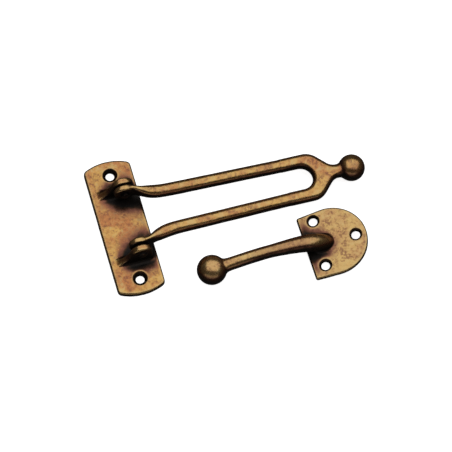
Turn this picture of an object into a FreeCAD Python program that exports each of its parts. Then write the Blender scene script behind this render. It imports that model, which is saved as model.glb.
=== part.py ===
"""Swing-bar door guard: a frame plate with a hinged U-bar, and a separate door hook that the bar shuts over.

Frame: millimetres, +Z up. The origin is the centre of the frame plate's back face. +X points from the
plate along the swing bar to its ball, and +Y along the plate's long side. The guard lies as it is set
out on a table: the plate on its back, the bar's ball on the table, and the hook on its ball and the
straight edge of its plate.
"""
import FreeCAD, Part
import math
import os

# ---- frame plate: a rectangle with bowed ends and two lugs
PLATE_W = 22.0
PLATE_L = 67.5
PLATE_T = 3.0
PLATE_BOW = 2.8
PLATE_CORNER_R = 2.2
PLATE_EDGE_R = 1.1
FRAME_HOLE_X = 0.4
FRAME_HOLE_SPACING = 52.8

# ---- screw holes, for 3.5 mm countersunk screws
SCREW_R = 2.0
FRAME_SINK_R = 3.5
HOOK_SINK_R = 3.1

# ---- pivot line of the swing bar, and the lugs that carry it
PIVOT_X = 3.8
PIVOT_Z = 9.8
LUG_Y = 17.0
LUG_T = 3.2
LUG_R = 5.0
LUG_EDGE_R = 0.9
LUG_FLARE_R = 1.5
LUG_FOOT_R = 1.1
LUG_BLEND_SINK = 0.12
RAMP_R = 11.7
RAMP_TOP_DEG = 165.0
RAMP_END_DEG = -78.0

# ---- pivot rivets
RIVET_R = 1.5
RIVET_HEAD_R = 2.3
RIVET_HEAD_T = 1.2
RIVET_TAIL_R = 2.2
RIVET_TAIL_T = 0.8
RIVET_TAIL_GAP = 0.1
EYE_BORE_R = 1.55

# ---- swing bar, measured along its own line from the pivot
BAR_PLAY = 0.35
BAR_SET_DEG = -0.3
EYE_Y = 13.3
EYE_R = 5.0
EYE_T = 3.2
EYE_EDGE_R = 1.25
ROD_R = 3.05
ROD_START = 22.0
ROD_START_Y = 9.5
ROD_SPANS = 6
YOKE_START = 72.0
YOKE_START_Y = 8.6
YOKE_SHOULDER_X = 83.0
YOKE_SHOULDER_R = 8.7
YOKE_SLOPE_DEG = 47.0
YOKE_WAIST_R = 5.0
YOKE_HALF_T = 3.1
YOKE_EDGE_R = 2.9
SLOT_END = 85.1
NECK_HALF_W = 3.1
NECK_R = 3.2
NECK_TAPER = 0.4
NECK_TAPER_L = 4.0
BALL_X = 103.8
BALL_R = 6.2
BALL_FILLET_R = 2.2

# Stations of the bent stretch between eye and rod: along the bar, sideways, half width, half height.
BEND_STATIONS = (
    (1.5, 13.3, 1.45, 4.35),
    (4.2, 13.0, 1.60, 3.95),
    (6.6, 12.1, 1.95, 3.50),
    (9.5, 11.1, 2.65, 3.20),
    (13.0, 10.2, ROD_R, ROD_R),
    (17.0, 9.7, ROD_R, ROD_R),
)

# ---- door hook: along its own plate from the straight edge (away from the arm), across, and off the back
HOOK_T = 2.4
HOOK_EDGE_HALF_W = 15.6
HOOK_ROUND_R = 16.25
HOOK_ROUND_A = 12.4
HOOK_CORNER_R = 0.9
HOOK_EDGE_R = 1.0
HOOK_HOLES = ((7.0, 11.9), (6.0, -10.3), (23.4, -0.6))
HOOK_BALL_A = -43.2
HOOK_BALL_N = 13.95
HOOK_BALL_R = 6.85
HOOK_ARM_R = 3.0
HOOK_NECK_R = 3.15
HOOK_EDGE_X = 76.9
HOOK_EDGE_Y = -32.0
HOOK_TURN_DEG = 0.8

# Stations of the hook's arm: along the plate, height off its back, radius. It leaves the plate, bends
# over its straight edge and runs out level.
ARM_STATIONS = (
    (10.3, 0.6, 3.75),
    (7.3, 4.2, 3.90),
    (3.5, 7.2, 4.10),
    (-1.0, 9.4, 3.90),
    (-5.7, 11.0, 3.55),
    (-10.5, 12.2, 3.25),
    (-15.9, 13.2, HOOK_ARM_R),
    (-21.1, 13.75, HOOK_ARM_R),
    (-27.1, HOOK_BALL_N, HOOK_ARM_R),
    (-35.1, HOOK_BALL_N, HOOK_ARM_R),
)

# ---- rings along an arm, and points round each ring
ARM_RINGS = 40
TUBE_SIDES = 24

# ---- reach of cutting tools past the surfaces that they cut, and depth of hidden overlaps
CUT = 1.0
EMBED = 0.5

# ---- how nearly an edge runs along Z, and how near to a plane it lies, to be picked for rounding
UPRIGHT_SHARE = 0.999
PLANE_GAP = 1e-3

Vec = FreeCAD.Vector
AXIS_X = Vec(1, 0, 0)
AXIS_Y = Vec(0, 1, 0)
AXIS_Z = Vec(0, 0, 1)


def point_at(centre, radius, degrees, along, up):
    """The point at this angle of a circle, in the plane of the unit vectors along and up."""
    angle = math.radians(degrees)
    return centre + along * (radius * math.cos(angle)) + up * (radius * math.sin(angle))


def line(start, end):
    """The straight edge between two points."""
    return Part.LineSegment(start, end).toShape()


def arc(centre, radius, from_deg, to_deg, along, up):
    """A circular arc given by its angles."""
    middle = (from_deg + to_deg) / 2
    ends = [point_at(centre, radius, d, along, up) for d in (from_deg, middle, to_deg)]
    return Part.Arc(*ends).toShape()


def prism(edges, extent):
    """The solid that a closed outline of edges sweeps along a vector."""
    return Part.Face(Part.Wire(Part.__sortEdges__(edges))).extrude(extent)


def turned(edges, axis):
    """The solid that a closed half section of edges sweeps about an axis through the origin."""
    solid = Part.Face(Part.Wire(Part.__sortEdges__(edges))).revolve(Vec(0, 0, 0), axis, 360)
    if solid.Volume < 0:
        solid.reverse()
    return solid


def mirrored(shape, axis=AXIS_Y):
    """The shape's mirror image across the plane through the origin that the axis is square to."""
    return shape.mirror(Vec(0, 0, 0), axis)


def upright_edges(shape):
    """The straight edges that run along Z."""
    def is_upright(edge):
        run = edge.Vertexes[-1].Point - edge.Vertexes[0].Point
        return abs(run.z) > UPRIGHT_SHARE * edge.Length
    return [e for e in shape.Edges if is_upright(e)]


def edges_in_plane(shape, origin, normal):
    """The edges that lie wholly in a plane."""
    def in_plane(edge):
        box = edge.BoundBox
        corners = [box.getPoint(i) for i in range(8)]
        return all(abs((c - origin).dot(normal)) < PLANE_GAP for c in corners)
    return [e for e in shape.Edges if in_plane(e)]


def screw_hole(x, y, thickness, sink_r):
    """The tool for one countersunk hole: a through bore and a 90 degree cone at the top face."""
    bore = Part.makeCylinder(SCREW_R, thickness + 2 * CUT, Vec(x, y, -CUT))
    sink_depth = sink_r - SCREW_R
    cone = Part.makeCone(
        SCREW_R, sink_r + CUT, sink_depth + CUT, Vec(x, y, thickness - sink_depth)
    )
    return bore.fuse(cone)


def frame_base():
    """The bare plate: bowed ends, rounded corners and softened top edges."""
    half_w, half_l = PLATE_W / 2, PLATE_L / 2
    side_y = half_l - PLATE_BOW
    bow_r = (half_w ** 2 + PLATE_BOW ** 2) / (2 * PLATE_BOW)
    spread = math.degrees(math.asin(half_w / bow_r))
    centre_y = half_l - bow_r
    upper = arc(Vec(0, centre_y, 0), bow_r, 90 - spread, 90 + spread, AXIS_X, AXIS_Y)
    lower = arc(Vec(0, -centre_y, 0), bow_r, 270 - spread, 270 + spread, AXIS_X, AXIS_Y)
    sides = [line(Vec(s * half_w, -side_y, 0), Vec(s * half_w, side_y, 0)) for s in (-1, 1)]
    plate = prism([upper, lower] + sides, AXIS_Z * PLATE_T)
    plate = plate.makeFillet(PLATE_CORNER_R, upright_edges(plate))
    return plate.makeFillet(PLATE_EDGE_R, edges_in_plane(plate, AXIS_Z * PLATE_T, AXIS_Z))


def lug_side_view():
    """The lug seen along Y: a round head with an upright front and a hollow ramp down the back."""
    head = Vec(PIVOT_X, 0, PIVOT_Z)
    base_z = PLATE_T - EMBED
    front_x = PIVOT_X + LUG_R
    foot = Vec(front_x + LUG_FOOT_R, 0, PLATE_T - LUG_BLEND_SINK)
    foot_centre = foot + AXIS_Z * LUG_FOOT_R
    ramp_centre = point_at(head, LUG_R + RAMP_R, RAMP_TOP_DEG, AXIS_X, AXIS_Z)
    ramp_end = point_at(ramp_centre, RAMP_R, RAMP_END_DEG, AXIS_X, AXIS_Z)
    foot_base = Vec(foot.x, 0, base_z)
    ramp_base = Vec(ramp_end.x, 0, base_z)
    foot_top = foot_centre - AXIS_X * LUG_FOOT_R
    edges = [
        line(foot_base, foot),
        arc(foot_centre, LUG_FOOT_R, 270, 180, AXIS_X, AXIS_Z),
        line(foot_top, head + AXIS_X * LUG_R),
        arc(head, LUG_R, 0, RAMP_TOP_DEG, AXIS_X, AXIS_Z),
        arc(ramp_centre, RAMP_R, RAMP_TOP_DEG - 180, RAMP_END_DEG, AXIS_X, AXIS_Z),
        line(ramp_end, ramp_base),
        line(ramp_base, foot_base),
    ]
    depth = LUG_T / 2 + LUG_FLARE_R + CUT
    return prism([e.translated(AXIS_Y * -depth) for e in edges], AXIS_Y * (2 * depth))


def lug_end_view():
    """The lug seen along X: an upright wall that flares into the plate at its foot."""
    base_z = PLATE_T - EMBED
    top_z = PIVOT_Z + LUG_R + CUT
    foot_z = PLATE_T - LUG_BLEND_SINK
    wall, flare_z = LUG_T / 2, foot_z + LUG_FLARE_R
    foot = wall + LUG_FLARE_R
    half = [
        line(Vec(0, foot, base_z), Vec(0, foot, foot_z)),
        arc(Vec(0, foot, flare_z), LUG_FLARE_R, 270, 180, AXIS_Y, AXIS_Z),
        line(Vec(0, wall, flare_z), Vec(0, wall, top_z)),
    ]
    edges = half + [mirrored(e) for e in half]
    edges.append(line(Vec(0, -foot, base_z), Vec(0, foot, base_z)))
    edges.append(line(Vec(0, -wall, top_z), Vec(0, wall, top_z)))
    return prism([e.translated(AXIS_X * -PLATE_W) for e in edges], AXIS_X * (2 * PLATE_W))


def lug():
    """One lug about its own mid plane, with its rim rounded."""
    body = lug_side_view().common(lug_end_view())
    rim = []
    for side in (-1, 1):
        rim += edges_in_plane(body, AXIS_Y * (side * LUG_T / 2), AXIS_Y)
    rim = [e for e in rim if e.CenterOfMass.z > PIVOT_Z - LUG_R]
    return body.makeFillet(LUG_EDGE_R, rim)


def frame_plate():
    """The jamb casting: plate, two lugs, two screw holes and the two rivet holes."""
    upper = lug().translated(AXIS_Y * LUG_Y)
    casting = frame_base().multiFuse([upper, mirrored(upper)])
    for side in (-1, 1):
        casting = casting.cut(
            screw_hole(FRAME_HOLE_X, side * FRAME_HOLE_SPACING / 2, PLATE_T, FRAME_SINK_R)
        )
    drill = Part.makeCylinder(RIVET_R, PLATE_L, Vec(PIVOT_X, -PLATE_L / 2, PIVOT_Z), AXIS_Y)
    return casting.cut(drill)


def cap_arc(base_r, height, base_s, outward):
    """A domed end of a turned part, from its rim at base_s to the axis. Its axis lies along Y."""
    sphere_r = (base_r ** 2 + height ** 2) / (2 * height)
    centre = Vec(0, base_s + outward * (height - sphere_r), 0)
    rim_deg = math.degrees(math.acos(base_r / sphere_r))
    return arc(centre, sphere_r, outward * rim_deg, outward * 90, AXIS_X, AXIS_Y)


def pivot_rivet():
    """The upper rivet: dome head on the lug's outer face, shank, and clenched tail inside the eye."""
    head_s = LUG_Y + LUG_T / 2
    tail_s = EYE_Y - EYE_T / 2 - BAR_PLAY - RIVET_TAIL_GAP
    edges = [
        cap_arc(RIVET_TAIL_R, RIVET_TAIL_T, tail_s, -1),
        line(Vec(RIVET_TAIL_R, tail_s, 0), Vec(RIVET_R, tail_s, 0)),
        line(Vec(RIVET_R, tail_s, 0), Vec(RIVET_R, head_s, 0)),
        line(Vec(RIVET_R, head_s, 0), Vec(RIVET_HEAD_R, head_s, 0)),
        cap_arc(RIVET_HEAD_R, RIVET_HEAD_T, head_s, 1),
        line(Vec(0, head_s + RIVET_HEAD_T, 0), Vec(0, tail_s - RIVET_TAIL_T, 0)),
    ]
    return turned(edges, AXIS_Y).translated(Vec(PIVOT_X, 0, PIVOT_Z))


def eased(stations, rings):
    """Evenly spaced stations on a smooth curve through the given ones: each a place and two half widths."""
    places = [place for place, _, _ in stations]
    knots = [0.0]
    for before, after in zip(places, places[1:]):
        knots.append(knots[-1] + (after - before).Length)
    path, girth = Part.BSplineCurve(), Part.BSplineCurve()
    path.interpolate(Points=places, Parameters=knots)
    girths = [Vec(w, h, knot) for (_, w, h), knot in zip(stations, knots)]
    girth.interpolate(Points=girths, Parameters=knots)
    out = []
    for ring in range(rings + 1):
        at = knots[-1] * ring / rings
        half = girth.value(at)
        out.append((path.value(at), path.tangent(at)[0], half.x, half.y))
    return out


def tube(stations, level, rings):
    """A closed tube of oval rings about a path. Its half widths lie square to level, and then upright."""
    grid = []
    for place, direction, half_w, half_h in eased(stations, rings):
        side = level.cross(direction).normalize()
        tall = direction.cross(side).normalize()
        turns = [2 * math.pi * step / TUBE_SIDES for step in range(TUBE_SIDES + 1)]
        grid.append([place + side * (half_w * math.sin(t)) - tall * (half_h * math.cos(t)) for t in turns])
    wall = Part.BSplineSurface()
    wall.interpolate(grid)
    first, last, _, _ = wall.bounds()
    caps = [Part.Face(Part.Wire(wall.uIso(u).toShape())) for u in (first, last)]
    shell = Part.makeShell([wall.toShape()] + caps)
    shell.sewShape()
    solid = Part.makeSolid(shell)
    if solid.Volume < 0:
        solid.reverse()
    return solid


def bar_arm():
    """One arm: from inside its eye, through the cranked bend, and along the rod into the yoke."""
    slope = (YOKE_START_Y - ROD_START_Y) / (YOKE_START - ROD_START)
    spacing = (YOKE_START + EMBED - ROD_START) / ROD_SPANS
    stations = [(Vec(x, y, 0), w, h) for x, y, w, h in BEND_STATIONS]
    for span in range(ROD_SPANS + 1):
        run = span * spacing
        stations.append((Vec(ROD_START + run, ROD_START_Y + run * slope, 0), ROD_R, ROD_R))
    return tube(stations, AXIS_Z, ARM_RINGS)


def bar_eye():
    """One pivot eye: a thick disc with a rounded rim."""
    disc = Part.makeCylinder(EYE_R, EYE_T, Vec(0, EYE_Y - EYE_T / 2, 0), AXIS_Y)
    rims = []
    for side in (-1, 1):
        rims += edges_in_plane(disc, AXIS_Y * (EYE_Y + side * EYE_T / 2), AXIS_Y)
    return disc.makeFillet(EYE_EDGE_R, rims)


def bar_yoke():
    """The wishbone that joins the arms: a slab with a slot, a waist and generously rounded edges."""
    end_x = BALL_X - BALL_R + CUT
    shoulder = Vec(YOKE_SHOULDER_X, YOKE_START_Y + YOKE_HALF_T - YOKE_SHOULDER_R, 0)
    slope_deg = 90 - YOKE_SLOPE_DEG
    slope = math.tan(math.radians(YOKE_SLOPE_DEG))
    slope_start = point_at(shoulder, YOKE_SHOULDER_R, slope_deg, AXIS_X, AXIS_Y)
    corner_x = slope_start.x + (slope_start.y - NECK_HALF_W) / slope
    tangent = YOKE_WAIST_R * math.tan(math.radians(YOKE_SLOPE_DEG / 2))
    waist = Vec(corner_x + tangent, NECK_HALF_W + YOKE_WAIST_R, 0)
    slope_end = point_at(waist, YOKE_WAIST_R, 270 - YOKE_SLOPE_DEG, AXIS_X, AXIS_Y)
    slot_r = YOKE_START_Y - YOKE_HALF_T
    slot_x = SLOT_END - slot_r
    outer_y = YOKE_START_Y + YOKE_HALF_T
    half = [
        line(Vec(YOKE_START, slot_r, 0), Vec(YOKE_START, outer_y, 0)),
        line(Vec(YOKE_START, outer_y, 0), Vec(YOKE_SHOULDER_X, outer_y, 0)),
        arc(shoulder, YOKE_SHOULDER_R, 90, slope_deg, AXIS_X, AXIS_Y),
        line(slope_start, slope_end),
        arc(waist, YOKE_WAIST_R, 270 - YOKE_SLOPE_DEG, 270, AXIS_X, AXIS_Y),
        line(Vec(waist.x, NECK_HALF_W, 0), Vec(end_x, NECK_HALF_W, 0)),
        line(Vec(YOKE_START, slot_r, 0), Vec(slot_x, slot_r, 0)),
    ]
    edges = half + [mirrored(e) for e in half]
    edges.append(line(Vec(end_x, -NECK_HALF_W, 0), Vec(end_x, NECK_HALF_W, 0)))
    edges.append(arc(Vec(slot_x, 0, 0), slot_r, -90, 90, AXIS_X, AXIS_Y))
    slab = prism([e.translated(AXIS_Z * -YOKE_HALF_T) for e in edges], AXIS_Z * (2 * YOKE_HALF_T))
    rims = []
    for side in (-1, 1):
        face_edges = edges_in_plane(slab, AXIS_Z * (side * YOKE_HALF_T), AXIS_Z)
        rims += [e for e in face_edges if YOKE_START < e.CenterOfMass.x < end_x]
    return slab.makeFillet(YOKE_EDGE_R, rims)


def ball_end(ball_x, ball_r, neck_r):
    """A ball on a neck, turned about X, with a hollow fillet between them. The neck thins away from it."""
    reach = ball_r + BALL_FILLET_R
    fillet_y = neck_r + BALL_FILLET_R
    fillet_x = ball_x - math.sqrt(reach ** 2 - fillet_y ** 2)
    meet_deg = math.degrees(math.asin(fillet_y / reach))
    neck_start = fillet_x - NECK_TAPER_L
    edges = [
        line(Vec(neck_start, 0, 0), Vec(neck_start, neck_r - NECK_TAPER, 0)),
        line(Vec(neck_start, neck_r - NECK_TAPER, 0), Vec(fillet_x, neck_r, 0)),
        arc(Vec(fillet_x, fillet_y, 0), BALL_FILLET_R, 270, 360 - meet_deg, AXIS_X, AXIS_Y),
        arc(Vec(ball_x, 0, 0), ball_r, 180 - meet_deg, 0, AXIS_X, AXIS_Y),
        line(Vec(ball_x + ball_r, 0, 0), Vec(neck_start, 0, 0)),
    ]
    return turned(edges, AXIS_X)


def swing_bar():
    """The hinged casting: two eyes, two arms, the yoke and the ball, lowered until the ball touches z = 0.

    The arms are set slightly to one side of square, and the eyes are bored true to the pivot line.
    """
    arm_pieces = [bar_eye(), bar_arm()]
    pieces = arm_pieces + [mirrored(p) for p in arm_pieces]
    casting = bar_yoke().multiFuse(pieces + [ball_end(BALL_X, BALL_R, NECK_R)])
    casting = casting.removeSplitter()
    casting.rotate(Vec(0, 0, 0), AXIS_Z, BAR_SET_DEG)
    bore = Part.makeCylinder(EYE_BORE_R, PLATE_L, Vec(0, -PLATE_L / 2, 0), AXIS_Y)
    casting = casting.cut(bore)
    droop = math.degrees(math.asin((PIVOT_Z - BALL_R) / BALL_X))
    casting.rotate(Vec(0, 0, 0), AXIS_Y, droop)
    return casting.translated(Vec(PIVOT_X, BAR_PLAY, PIVOT_Z))


def hook_base():
    """The bare D-shaped plate: a straight edge, sides that just flare, and a round end."""
    distance = math.hypot(HOOK_ROUND_A, HOOK_EDGE_HALF_W)
    corner_deg = math.degrees(math.atan2(HOOK_EDGE_HALF_W, -HOOK_ROUND_A))
    tangent_deg = corner_deg - math.degrees(math.acos(HOOK_ROUND_R / distance))
    centre = Vec(HOOK_ROUND_A, 0, 0)
    corner = Vec(0, HOOK_EDGE_HALF_W, 0)
    flare = line(corner, point_at(centre, HOOK_ROUND_R, tangent_deg, AXIS_X, AXIS_Y))
    edges = [
        line(mirrored(Part.Vertex(corner)).Point, corner),
        flare,
        mirrored(flare),
        arc(centre, HOOK_ROUND_R, -tangent_deg, tangent_deg, AXIS_X, AXIS_Y),
    ]
    plate = prism(edges, AXIS_Z * HOOK_T)
    corners = [e for e in upright_edges(plate) if e.CenterOfMass.x < EMBED]
    plate = plate.makeFillet(HOOK_CORNER_R, corners)
    return plate.makeFillet(HOOK_EDGE_R, edges_in_plane(plate, AXIS_Z * HOOK_T, AXIS_Z))


def hook_arm():
    """The bent arm, cut off inside the plate."""
    arm = tube([(Vec(a, 0, n), r, r) for a, n, r in ARM_STATIONS], AXIS_Z, ARM_RINGS)
    room = HOOK_ROUND_R - HOOK_BALL_A
    above = Part.makeBox(2 * room, 2 * room, room, Vec(-room, -room, HOOK_T - EMBED))
    return arm.common(above)


def door_hook():
    """The door casting, set down on its ball and on the straight edge of its plate."""
    ball = mirrored(ball_end(-HOOK_BALL_A, HOOK_BALL_R, HOOK_NECK_R), AXIS_X)
    ball.translate(AXIS_Z * HOOK_BALL_N)
    casting = hook_base().multiFuse([hook_arm(), ball]).removeSplitter()
    for a, b in HOOK_HOLES:
        casting = casting.cut(screw_hole(a, b, HOOK_T, HOOK_SINK_R))
    reach = math.hypot(HOOK_BALL_A, HOOK_BALL_N)
    rise = math.atan2(HOOK_BALL_N, -HOOK_BALL_A)
    tip = math.degrees(rise - math.asin(HOOK_BALL_R / reach))
    casting.rotate(Vec(0, 0, 0), AXIS_Y, -tip)
    casting.rotate(Vec(0, 0, 0), AXIS_Z, HOOK_TURN_DEG)
    return casting.translated(Vec(HOOK_EDGE_X, HOOK_EDGE_Y, 0))


def main():
    """Builds the five pieces and writes one file for each."""
    upper_rivet = pivot_rivet()
    nodes = {
        "frame_plate": frame_plate(),
        "swing_bar": swing_bar(),
        "upper_pivot_rivet": upper_rivet,
        "lower_pivot_rivet": mirrored(upper_rivet),
        "door_hook": door_hook(),
    }
    os.makedirs("parts", exist_ok=True)
    for name, shape in nodes.items():
        shape.exportStep(f"parts/{name}.step")
        box = shape.BoundBox
        print(name, shape.isValid(), len(shape.Solids), round(shape.Volume, 1), box)


main()
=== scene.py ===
"""The swing-bar door guard in aged brass, laid out on a plain pale table."""
import math

import bmesh
import bpy
import numpy as np
from mathutils import Matrix, Quaternion, Vector, kdtree, noise
from mathutils.bvhtree import BVHTree


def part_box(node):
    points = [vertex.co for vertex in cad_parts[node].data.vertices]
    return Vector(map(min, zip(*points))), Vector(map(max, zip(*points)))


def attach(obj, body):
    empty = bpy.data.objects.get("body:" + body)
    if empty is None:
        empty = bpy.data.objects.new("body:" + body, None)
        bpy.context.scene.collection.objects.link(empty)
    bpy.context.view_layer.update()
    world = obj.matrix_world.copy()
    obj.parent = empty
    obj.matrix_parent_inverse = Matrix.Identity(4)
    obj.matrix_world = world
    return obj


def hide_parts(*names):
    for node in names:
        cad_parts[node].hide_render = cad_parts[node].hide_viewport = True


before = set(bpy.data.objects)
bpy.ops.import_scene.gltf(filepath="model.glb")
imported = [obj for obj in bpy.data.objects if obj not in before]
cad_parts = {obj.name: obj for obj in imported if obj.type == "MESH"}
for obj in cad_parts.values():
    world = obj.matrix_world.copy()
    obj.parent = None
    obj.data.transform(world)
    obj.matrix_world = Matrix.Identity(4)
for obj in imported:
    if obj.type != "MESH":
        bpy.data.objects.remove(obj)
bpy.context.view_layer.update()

MM = 0.001
UP = Vector((0, 0, 1))

# ---- the castings: each visible skin's voxel in millimetres, the body it rides on, its material slot
PIECES = {
    "frame_plate": (0.25, "frame", "frame_brass"),
    "swing_bar": (0.25, "bar", "bar_brass"),
    "door_hook": (0.25, "hook", "hook_brass"),
    "upper_pivot_rivet": (0.12, "frame", "rivet_brass"),
    "lower_pivot_rivet": (0.12, "frame", "rivet_brass"),
}
# Voxel work is done this many times larger, because the remesher has a smallest voxel.
WORK_SCALE = 100.0
SMOOTH_STEPS = 7

# ---- unevenness of the cast skin, as (wavelength, height) in millimetres
CAST_WAVES = ((8.0, 0.050), (2.6, 0.018))

# ---- extra fillet where two forms of a casting meet, by how hollow the skin is there (in millimetres)
HOLLOW_REACH_STEPS = 24
HOLLOW_START = 0.008
HOLLOW_FULL = 0.06
FILLET_STEPS = 60

# ---- recesses, from rays cast over a coarse copy, and edge wear, from how far a point stands proud
RECESS_VOXEL = 0.6
RECESS_RAYS = 48
RECESS_REACH = 16.0
RECESS_LIFT = 0.25
RECESS_SPREAD_STEPS = 2
NEAREST = 4
WEAR_REACH_STEPS = 16
WEAR_FULL = 0.12
FACE_SPREAD_STEPS = 8
# The hook's arm keeps more patina than its ball and plate: where that starts and ends, as shares of
# the hook's length.
ARM_SPAN = (0.20, 0.36, 0.62, 0.72)
# The nodes of the hinged half, which shade each other.
HINGED = ("frame_plate", "swing_bar", "upper_pivot_rivet", "lower_pivot_rivet")

# Least distance in a distance weighting, in metres, and steps that even out the wear.
NEAR_FLOOR = 1e-5
WEAR_SPREAD_STEPS = 2
# Vertices nearer than this are joined before the voxel work, in metres.
WELD = 1e-8

# ---- camera: the view from above and in front, turned so that the bar points up and to the right
VIEW_TURN_DEG = 19.81
VIEW_ELEVATION_DEG = 65.74
VIEW_ROLL_DEG = 4.24
VIEW_DISTANCE = 1.220
VIEW_TARGET = Vector((45.1, -10.65, 0.0)) * MM
LENS_MM = 213.8


def mesh_arrays(mesh):
    """A mesh's vertex places, normals and edges."""
    places = np.empty(len(mesh.vertices) * 3, np.float32)
    mesh.vertices.foreach_get("co", places)
    normals = np.empty(len(mesh.vertices) * 3, np.float32)
    mesh.vertices.foreach_get("normal", normals)
    edges = np.empty(len(mesh.edges) * 2, np.int32)
    mesh.edges.foreach_get("vertices", edges)
    places, normals = (flat.reshape(-1, 3).astype(float) for flat in (places, normals))
    return places, normals, edges.reshape(-1, 2)


def spread(values, edges, steps):
    """Values averaged with their neighbours' along the edges, this many times."""
    flat = values.reshape(len(values), -1).astype(float)
    counts = np.bincount(edges.ravel(), minlength=len(flat))[:, None]
    for _ in range(steps):
        total = np.zeros_like(flat)
        for column in range(flat.shape[1]):
            total[:, column] = np.bincount(edges[:, 0], flat[edges[:, 1], column], len(flat))
            total[:, column] += np.bincount(edges[:, 1], flat[edges[:, 0], column], len(flat))
        flat = (flat + total / np.maximum(counts, 1)) / 2
    return flat.reshape(values.shape)


def voxel_mesh(node, voxel_mm):
    """The node's shape as an even voxel skin, in metres."""
    work = bpy.data.meshes.new_from_object(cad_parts[node])
    shape = bmesh.new()
    shape.from_mesh(work)
    bmesh.ops.remove_doubles(shape, verts=shape.verts, dist=WELD)
    bmesh.ops.scale(shape, vec=(WORK_SCALE,) * 3, verts=shape.verts)
    shape.to_mesh(work)
    shape.free()
    carrier = bpy.data.objects.new("carrier", work)
    bpy.context.scene.collection.objects.link(carrier)
    remesh = carrier.modifiers.new("voxels", "REMESH")
    remesh.mode = "VOXEL"
    remesh.voxel_size = voxel_mm * MM * WORK_SCALE
    evaluated = carrier.evaluated_get(bpy.context.evaluated_depsgraph_get())
    mesh = bpy.data.meshes.new_from_object(evaluated)
    mesh.transform(Matrix.Scale(1 / WORK_SCALE, 4))
    mesh.materials.clear()
    bpy.data.objects.remove(carrier)
    bpy.data.meshes.remove(work)
    return mesh


def cast_skin(mesh, low, high):
    """Softens the voxel steps and makes the skin slightly uneven, inside the CAD node's box."""
    places, _, edges = mesh_arrays(mesh)
    places = spread(places, edges, SMOOTH_STEPS)
    mesh.vertices.foreach_set("co", places.ravel())
    mesh.update()
    _, normals, _ = mesh_arrays(mesh)
    hollow = ((spread(places, edges, HOLLOW_REACH_STEPS) - places) * normals).sum(axis=1) / MM
    share = np.clip((hollow - HOLLOW_START) / (HOLLOW_FULL - HOLLOW_START), 0, 1)
    share = spread(share, edges, SMOOTH_STEPS)[:, None]
    places = places * (1 - share) + spread(places, edges, FILLET_STEPS) * share
    mesh.vertices.foreach_set("co", places.ravel())
    mesh.update()
    _, normals, _ = mesh_arrays(mesh)
    for wavelength, height in CAST_WAVES:
        scale = 1 / (wavelength * MM)
        waves = np.array([noise.noise(Vector(p) * scale) for p in places])
        places += normals * (waves * height * MM)[:, None]
    places = np.clip(places, np.array(low), np.array(high))
    mesh.vertices.foreach_set("co", places.ravel())
    mesh.update()


def hemisphere(count):
    """Evenly spread directions over the half space z > 0, closer together near the pole."""
    golden = math.pi * (3 - math.sqrt(5))
    out = []
    for step in range(count):
        height = math.sqrt((step + 0.5) / count)
        ring = math.sqrt(1 - height * height)
        out.append(Vector((ring * math.cos(golden * step), ring * math.sin(golden * step), height)))
    return out


def shade_tree(nodes):
    """A ray tree over the coarse copies of these nodes together."""
    places = []
    faces = []
    for node in nodes:
        coarse = voxel_mesh(node, RECESS_VOXEL)
        start = len(places)
        places.extend(vertex.co.copy() for vertex in coarse.vertices)
        faces.extend(tuple(start + corner for corner in face.vertices) for face in coarse.polygons)
        bpy.data.meshes.remove(coarse)
    return BVHTree.FromPolygons(places, faces)


def recess_values(node, mesh, tree):
    """For each vertex, from 0 in the open to 1 deep in a corner or under a neighbouring part; it sets
    both the patina and the painted shade.
    """
    coarse = voxel_mesh(node, RECESS_VOXEL)
    places, normals, edges = mesh_arrays(coarse)
    rays = hemisphere(RECESS_RAYS)
    shut = np.zeros(len(places))
    for index, (place, normal) in enumerate(zip(places, normals)):
        facing = Vector(normal)
        start = Vector(place) + facing * (RECESS_LIFT * MM)
        turn = UP.rotation_difference(facing)
        for ray in rays:
            hit = tree.ray_cast(start, turn @ ray, RECESS_REACH * MM)
            if hit[0] is not None:
                shut[index] += 1 - (hit[3] / (RECESS_REACH * MM)) ** 2
    shut = spread(shut / RECESS_RAYS, edges, RECESS_SPREAD_STEPS)
    lookup = kdtree.KDTree(len(places))
    for index, place in enumerate(places):
        lookup.insert(place, index)
    lookup.balance()
    values = []
    for vertex in mesh.vertices:
        near = lookup.find_n(vertex.co, NEAREST)
        weights = [1 / (distance + NEAR_FLOOR) for _, _, distance in near]
        values.append(sum(shut[i] * w for (_, i, _), w in zip(near, weights)) / sum(weights))
    bpy.data.meshes.remove(coarse)
    return np.array(values)


def wear_values(mesh):
    """For each vertex, above 0 on a proud edge and below 0 in a hollow."""
    places, normals, edges = mesh_arrays(mesh)
    settled = spread(places, edges, WEAR_REACH_STEPS)
    proud = ((places - settled) * normals).sum(axis=1) / (WEAR_FULL * MM)
    return np.clip(spread(proud, edges, WEAR_SPREAD_STEPS), -1, 1)


def face_values(mesh, two_sided):
    """For each vertex, 1 on a level face and 0 on an upright one, which gets painted shade. Lower faces
    count if two sided.
    """
    _, normals, edges = mesh_arrays(mesh)
    upward = spread(normals[:, 2], edges, FACE_SPREAD_STEPS)
    return np.clip(np.abs(upward) if two_sided else upward, 0, 1)


def kept_values(node, mesh):
    """For each vertex, 1 on the hook's arm and 0 elsewhere."""
    if node != "door_hook":
        return np.zeros(len(mesh.vertices))
    low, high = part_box(node)
    share = (mesh_arrays(mesh)[0][:, 0] - low[0]) / (high[0] - low[0])
    return np.interp(share, ARM_SPAN, (0, 1, 1, 0))


def add_attribute(mesh, name, values):
    """Stores one number for each vertex under this name."""
    layer = mesh.attributes.new(name, "FLOAT", "POINT")
    layer.data.foreach_set("value", values.astype(np.float32))


# ---- materials; the mix node's colour sockets by place, since its sockets share their names
MIX_COLOUR_A = 6
MIX_COLOUR_B = 7
MIX_COLOUR_OUT = 2


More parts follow.
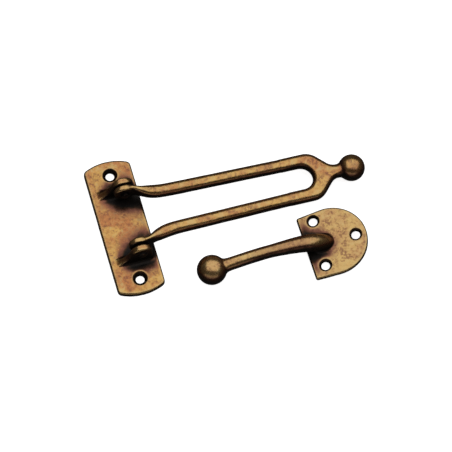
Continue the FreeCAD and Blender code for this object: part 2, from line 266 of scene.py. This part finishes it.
class Nodes:
    """A small helper that makes and joins the nodes of one material."""

    def __init__(self, name):
        self.material = bpy.data.materials.new(name)
        self.material.use_nodes = True
        self.tree = self.material.node_tree
        self.shader = self.tree.nodes["Principled BSDF"]
        where = self.tree.nodes.new("ShaderNodeTexCoord").outputs["Object"]
        scale = self.tree.nodes.new("ShaderNodeVectorMath")
        scale.operation = "SCALE"
        scale.inputs["Scale"].default_value = 1 / MM
        self.link(where, scale.inputs[0])
        self.place = scale.outputs[0]

    def link(self, source, target):
        """Joins an output to an input, or sets the input to a plain value."""
        if hasattr(source, "links"):
            self.tree.links.new(source, target)
        else:
            target.default_value = source

    def noise(self, look, offset):
        """Fractal noise from 0 to 1. Its look is wavelength in millimetres, detail, roughness, swirl."""
        wavelength, detail, rough, distortion = look
        node = self.tree.nodes.new("ShaderNodeTexNoise")
        node.noise_dimensions = "4D"
        node.inputs["W"].default_value = offset
        node.inputs["Scale"].default_value = 1 / wavelength
        node.inputs["Detail"].default_value = detail
        node.inputs["Roughness"].default_value = rough
        node.inputs["Distortion"].default_value = distortion
        self.link(self.place, node.inputs["Vector"])
        return node.outputs["Fac"]

    def step(self, value, low, high, start=0.0, end=1.0):
        """Value moved smoothly from the range low..high to start..end, and held past its ends."""
        node = self.tree.nodes.new("ShaderNodeMapRange")
        node.interpolation_type = "SMOOTHSTEP"
        ends = {"From Min": low, "From Max": high, "To Min": start, "To Max": end}
        for name, number in ends.items():
            node.inputs[name].default_value = number
        self.link(value, node.inputs["Value"])
        return node.outputs["Result"]

    def math(self, kind, a, b):
        """The sum, difference or product of two values."""
        node = self.tree.nodes.new("ShaderNodeMath")
        node.operation = kind
        self.link(a, node.inputs[0])
        self.link(b, node.inputs[1])
        return node.outputs[0]

    def mix(self, amount, a, b):
        """Colour a turning to colour b as amount goes from 0 to 1."""
        node = self.tree.nodes.new("ShaderNodeMix")
        node.data_type = "RGBA"
        self.link(amount, node.inputs["Factor"])
        self.link(a, node.inputs[MIX_COLOUR_A])
        self.link(b, node.inputs[MIX_COLOUR_B])
        return node.outputs[MIX_COLOUR_OUT]

    def attribute(self, name):
        """A number stored on the mesh."""
        node = self.tree.nodes.new("ShaderNodeAttribute")
        node.attribute_name = name
        return node.outputs["Fac"]

    def bump(self, height, distance_mm, below=None):
        """The normal of a surface raised by height, over the bumps of another."""
        node = self.tree.nodes.new("ShaderNodeBump")
        node.inputs["Distance"].default_value = distance_mm * MM
        self.link(height, node.inputs["Height"])
        if below is not None:
            self.link(below, node.inputs["Normal"])
        return node.outputs["Normal"]


# The metal's colours, and those of the patina and the painted shade, from thin to thick.
GOLD = (0.60, 0.345, 0.105, 1)
STRAW = (0.59, 0.435, 0.195, 1)
TAN = (0.48, 0.20, 0.075, 1)
PLUM = (0.19, 0.075, 0.055, 1)
OLIVE = (0.30, 0.21, 0.055, 1)
UMBER = (0.075, 0.038, 0.020, 1)
PATINA_SHADE_BLACK = (0.008, 0.006, 0.005, 1)

# Noises as (wavelength in millimetres, detail, roughness, swirl), and how far apart they start.
BROAD = (7.0, 3.0, 0.55, 0.4)
CLOUD = (3.2, 4.0, 0.6, 0.5)
FLECK = (0.9, 3.0, 0.65, 0.0)
GRAIN = (0.32, 2.0, 0.6, 0.0)
CLOUD_START = 3.1
FLECK_START = 7.7
GRAIN_START = 11.3
PIECE_START = 5.3

# How much of each colour is let in at most.
STRAW_SHARE = 0.65
OLIVE_SHARE = 0.50
PLUM_SHARE = 0.75
RUBBED_SHARE = 0.5
PIT_SHARE = 0.45

# What the depth of patina and painted shade gains from the clouds and from the hook's arm, and loses on
# proud edges; and the painted shade that upright sides add.
CLOUD_PATINA = 0.22
KEPT_PATINA = 0.11
WORN_OFF = 0.10
SIDE_SHADE = 0.33

# Gloss and relief: metal left under full patina, roughness, and bump heights in millimetres.
PATINA_METAL = 0.75
BROAD_ROUGH = (0.19, 0.27)
FLECK_ROUGH = (-0.02, 0.06)
PATINA_ROUGH = 0.18
CLOUD_BUMP = 0.050
FLECK_BUMP = 0.022
GRAIN_SHARE = 0.5

# Each piece's own finish: how much deeper its patina is, and how far its brass leans to straw.
FINISH = {
    "frame_plate": (0.01, 0.0),
    "swing_bar": (0.02, 0.1),
    "door_hook": (0.0, 0.45),
    "upper_pivot_rivet": (0.03, 0.2),
    "lower_pivot_rivet": (0.03, 0.2),
}


def aged_brass(name, offset, darkness, paleness):
    """Aged cast brass: mottled gold, straw and tan, plum stains, and near black patina in recesses,
    deepened by painted shade in recesses, between the hinged parts and on upright sides.
    """
    n = Nodes(name)
    recess = n.attribute("recess")
    wear = n.attribute("wear")
    broad = n.noise(BROAD, offset)
    cloud = n.noise(CLOUD, offset + CLOUD_START)
    fleck = n.noise(FLECK, offset + FLECK_START)
    grain = n.noise(GRAIN, offset + GRAIN_START)
    base = n.mix(n.step(broad, 0.38, 0.62), GOLD, TAN)
    base = n.mix(n.math("MULTIPLY", n.step(cloud, 0.50, 0.68), STRAW_SHARE), base, STRAW)
    base = n.mix(paleness, base, STRAW)
    base = n.mix(n.math("MULTIPLY", n.step(fleck, 0.54, 0.70), OLIVE_SHARE), base, OLIVE)
    stain = n.math("MULTIPLY", n.step(cloud, 0.56, 0.38), n.step(fleck, 0.38, 0.56))
    base = n.mix(n.math("MULTIPLY", stain, PLUM_SHARE), base, PLUM)
    # the patina and painted shade: patina in hollows with painted shade in recesses and between the
    # hinged parts, painted shade on upright sides, broken up by the clouds, rubbed off the edges
    uneven = n.math("MULTIPLY", n.math("SUBTRACT", cloud, 0.5), CLOUD_PATINA)
    patina_and_shade_depth = n.math("ADD", recess, uneven)
    patina_and_shade_depth = n.math("SUBTRACT", patina_and_shade_depth, n.math("MULTIPLY", wear, WORN_OFF))
    patina_and_shade_depth = n.math("ADD", patina_and_shade_depth, n.math("MULTIPLY", n.attribute("kept"), KEPT_PATINA))
    patina_and_shade_depth = n.math("ADD", patina_and_shade_depth, darkness)
    # painted shade: upright sides darker than level tops
    patina_and_shade_depth = n.math("ADD", patina_and_shade_depth, n.step(n.attribute("face"), 0.97, 0.05, 0.0, SIDE_SHADE))
    # plum, umber and near black from the depth of patina and painted shade
    base = n.mix(n.step(patina_and_shade_depth, 0.035, 0.17), base, PLUM)
    base = n.mix(n.step(patina_and_shade_depth, 0.10, 0.25), base, UMBER)
    patina_and_shade = n.step(patina_and_shade_depth, 0.15, 0.30)
    base = n.mix(patina_and_shade, base, PATINA_SHADE_BLACK)
    rubbed = n.math("MULTIPLY", n.step(wear, 0.10, 0.55), n.step(patina_and_shade_depth, 0.22, 0.05))
    base = n.mix(n.math("MULTIPLY", rubbed, RUBBED_SHARE), base, STRAW)
    pits = n.math("MULTIPLY", n.step(grain, 0.40, 0.24), PIT_SHARE)
    base = n.mix(pits, base, UMBER)
    n.link(base, n.shader.inputs["Base Color"])
    n.link(n.step(patina_and_shade, 0.0, 1.0, 1.0, PATINA_METAL), n.shader.inputs["Metallic"])
    rough = n.step(broad, 0.3, 0.7, *BROAD_ROUGH)
    rough = n.math("ADD", rough, n.step(fleck, 0.3, 0.7, *FLECK_ROUGH))
    rough = n.math("ADD", rough, n.math("MULTIPLY", patina_and_shade, PATINA_ROUGH))
    n.link(rough, n.shader.inputs["Roughness"])
    coarse = n.bump(cloud, CLOUD_BUMP)
    fine = n.bump(n.math("ADD", fleck, n.math("MULTIPLY", grain, GRAIN_SHARE)), FLECK_BUMP, coarse)
    n.link(fine, n.shader.inputs["Normal"])
    return n.material


def add_castings():
    """Each CAD node's visible skin, on the node's own body."""
    hinged = shade_tree(HINGED)
    loose = shade_tree(set(PIECES) - set(HINGED))
    for index, (node, (voxel, body, slot)) in enumerate(PIECES.items()):
        mesh = voxel_mesh(node, voxel)
        low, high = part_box(node)
        cast_skin(mesh, low, high)
        shade = hinged if node in HINGED else loose
        # the recess value drives patina in hollows and painted shade in recesses and between parts
        add_attribute(mesh, "recess", recess_values(node, mesh, shade))
        add_attribute(mesh, "wear", wear_values(mesh))
        add_attribute(mesh, "kept", kept_values(node, mesh))
        # the face value drives painted shade on upright sides
        add_attribute(mesh, "face", face_values(mesh, body == "bar"))
        mesh.shade_smooth()
        mesh.name = node + "_skin"
        skin = bpy.data.objects.new(node + "_skin", mesh)
        bpy.context.scene.collection.objects.link(skin)
        mesh.materials.append(aged_brass(node + "_finish", index * PIECE_START, *FINISH[node]))
        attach(skin, body)
        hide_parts(node)


# ---- the studio
FLOOR_HALF = 3.0
FLOOR_GLOW = 0.85
FLOOR_PAINT = (0.92, 0.92, 0.91, 1)
FLOOR_ROUGH = 0.9
FLOOR_GLOSS = 0.1
LAMP_DISTANCE = 0.9
WORLD_COLOUR = (0.060, 0.0552, 0.0516, 1)


def add_floor():
    """A pale table that glows a little, so that it reads as near white. The brass doesn't mirror it."""
    signs = ((-1, -1), (1, -1), (1, 1), (-1, 1))
    corners = [(x * FLOOR_HALF, y * FLOOR_HALF, 0) for x, y in signs]
    mesh = bpy.data.meshes.new("floor")
    mesh.from_pydata(corners, [], [(0, 1, 2, 3)])
    floor = bpy.data.objects.new("floor", mesh)
    bpy.context.scene.collection.objects.link(floor)
    paint = bpy.data.materials.new("floor_paint")
    paint.use_nodes = True
    shader = paint.node_tree.nodes["Principled BSDF"]
    shader.inputs["Base Color"].default_value = FLOOR_PAINT
    shader.inputs["Roughness"].default_value = FLOOR_ROUGH
    shader.inputs["Specular IOR Level"].default_value = FLOOR_GLOSS
    shader.inputs["Emission Color"].default_value = (1, 1, 1, 1)
    shader.inputs["Emission Strength"].default_value = FLOOR_GLOW
    mesh.materials.append(paint)
    floor.visible_glossy = False


def add_softbox(name, rise_deg, side_deg, half_width_deg, half_height_deg, radiance):
    """A soft lamp facing the object. Rise 0 is behind it as the camera sees it, and 180 in front."""
    turn, rise, side = map(math.radians, (VIEW_TURN_DEG, rise_deg, side_deg))
    ahead = Vector((math.sin(turn), math.cos(turn), 0.0))
    right = ahead.cross(UP)
    middle = ahead * math.cos(rise) + UP * math.sin(rise)
    way = middle * math.cos(side) + right * math.sin(side)
    across = right * math.cos(side) - middle * math.sin(side)
    data = bpy.data.lights.new(name, "AREA")
    data.shape = "RECTANGLE"
    data.size = 2 * LAMP_DISTANCE * math.tan(math.radians(half_width_deg))
    data.size_y = 2 * LAMP_DISTANCE * math.tan(math.radians(half_height_deg))
    data.energy = radiance * math.pi * data.size * data.size_y
    lamp = bpy.data.objects.new(name, data)
    lamp.location = VIEW_TARGET + way * LAMP_DISTANCE
    lamp.rotation_mode = "QUATERNION"
    lamp.rotation_quaternion = Matrix((across, way.cross(across), way)).transposed().to_quaternion()
    bpy.context.scene.collection.objects.link(lamp)


def add_world():
    """Dim, slightly warm surroundings."""
    world = bpy.data.worlds.new("studio")
    bpy.context.scene.world = world
    world.use_nodes = True
    world.node_tree.nodes["Background"].inputs["Color"].default_value = WORLD_COLOUR


def add_camera():
    """The camera, in line with the view constants."""
    turn, rise, roll = map(math.radians, (VIEW_TURN_DEG, VIEW_ELEVATION_DEG, VIEW_ROLL_DEG))
    ahead = Vector((math.sin(turn), math.cos(turn), 0.0))
    forward = ahead * math.cos(rise) - UP * math.sin(rise)
    data = bpy.data.cameras.new("camera")
    data.lens = LENS_MM
    camera = bpy.data.objects.new("camera", data)
    camera.location = VIEW_TARGET - forward * VIEW_DISTANCE
    camera.rotation_mode = "QUATERNION"
    camera.rotation_quaternion = Quaternion(forward, -roll) @ forward.to_track_quat("-Z", "Y")
    bpy.context.scene.collection.objects.link(camera)
    bpy.context.scene.camera = camera


add_castings()
add_floor()
add_world()
add_softbox("overhead", 79.0, 6.0, 49.0, 41.0, 0.98)
add_softbox("front_card", 171.0, 0.0, 46.0, 11.0, 0.42)
add_camera()
bpy.context.scene.view_settings.view_transform = "Standard"
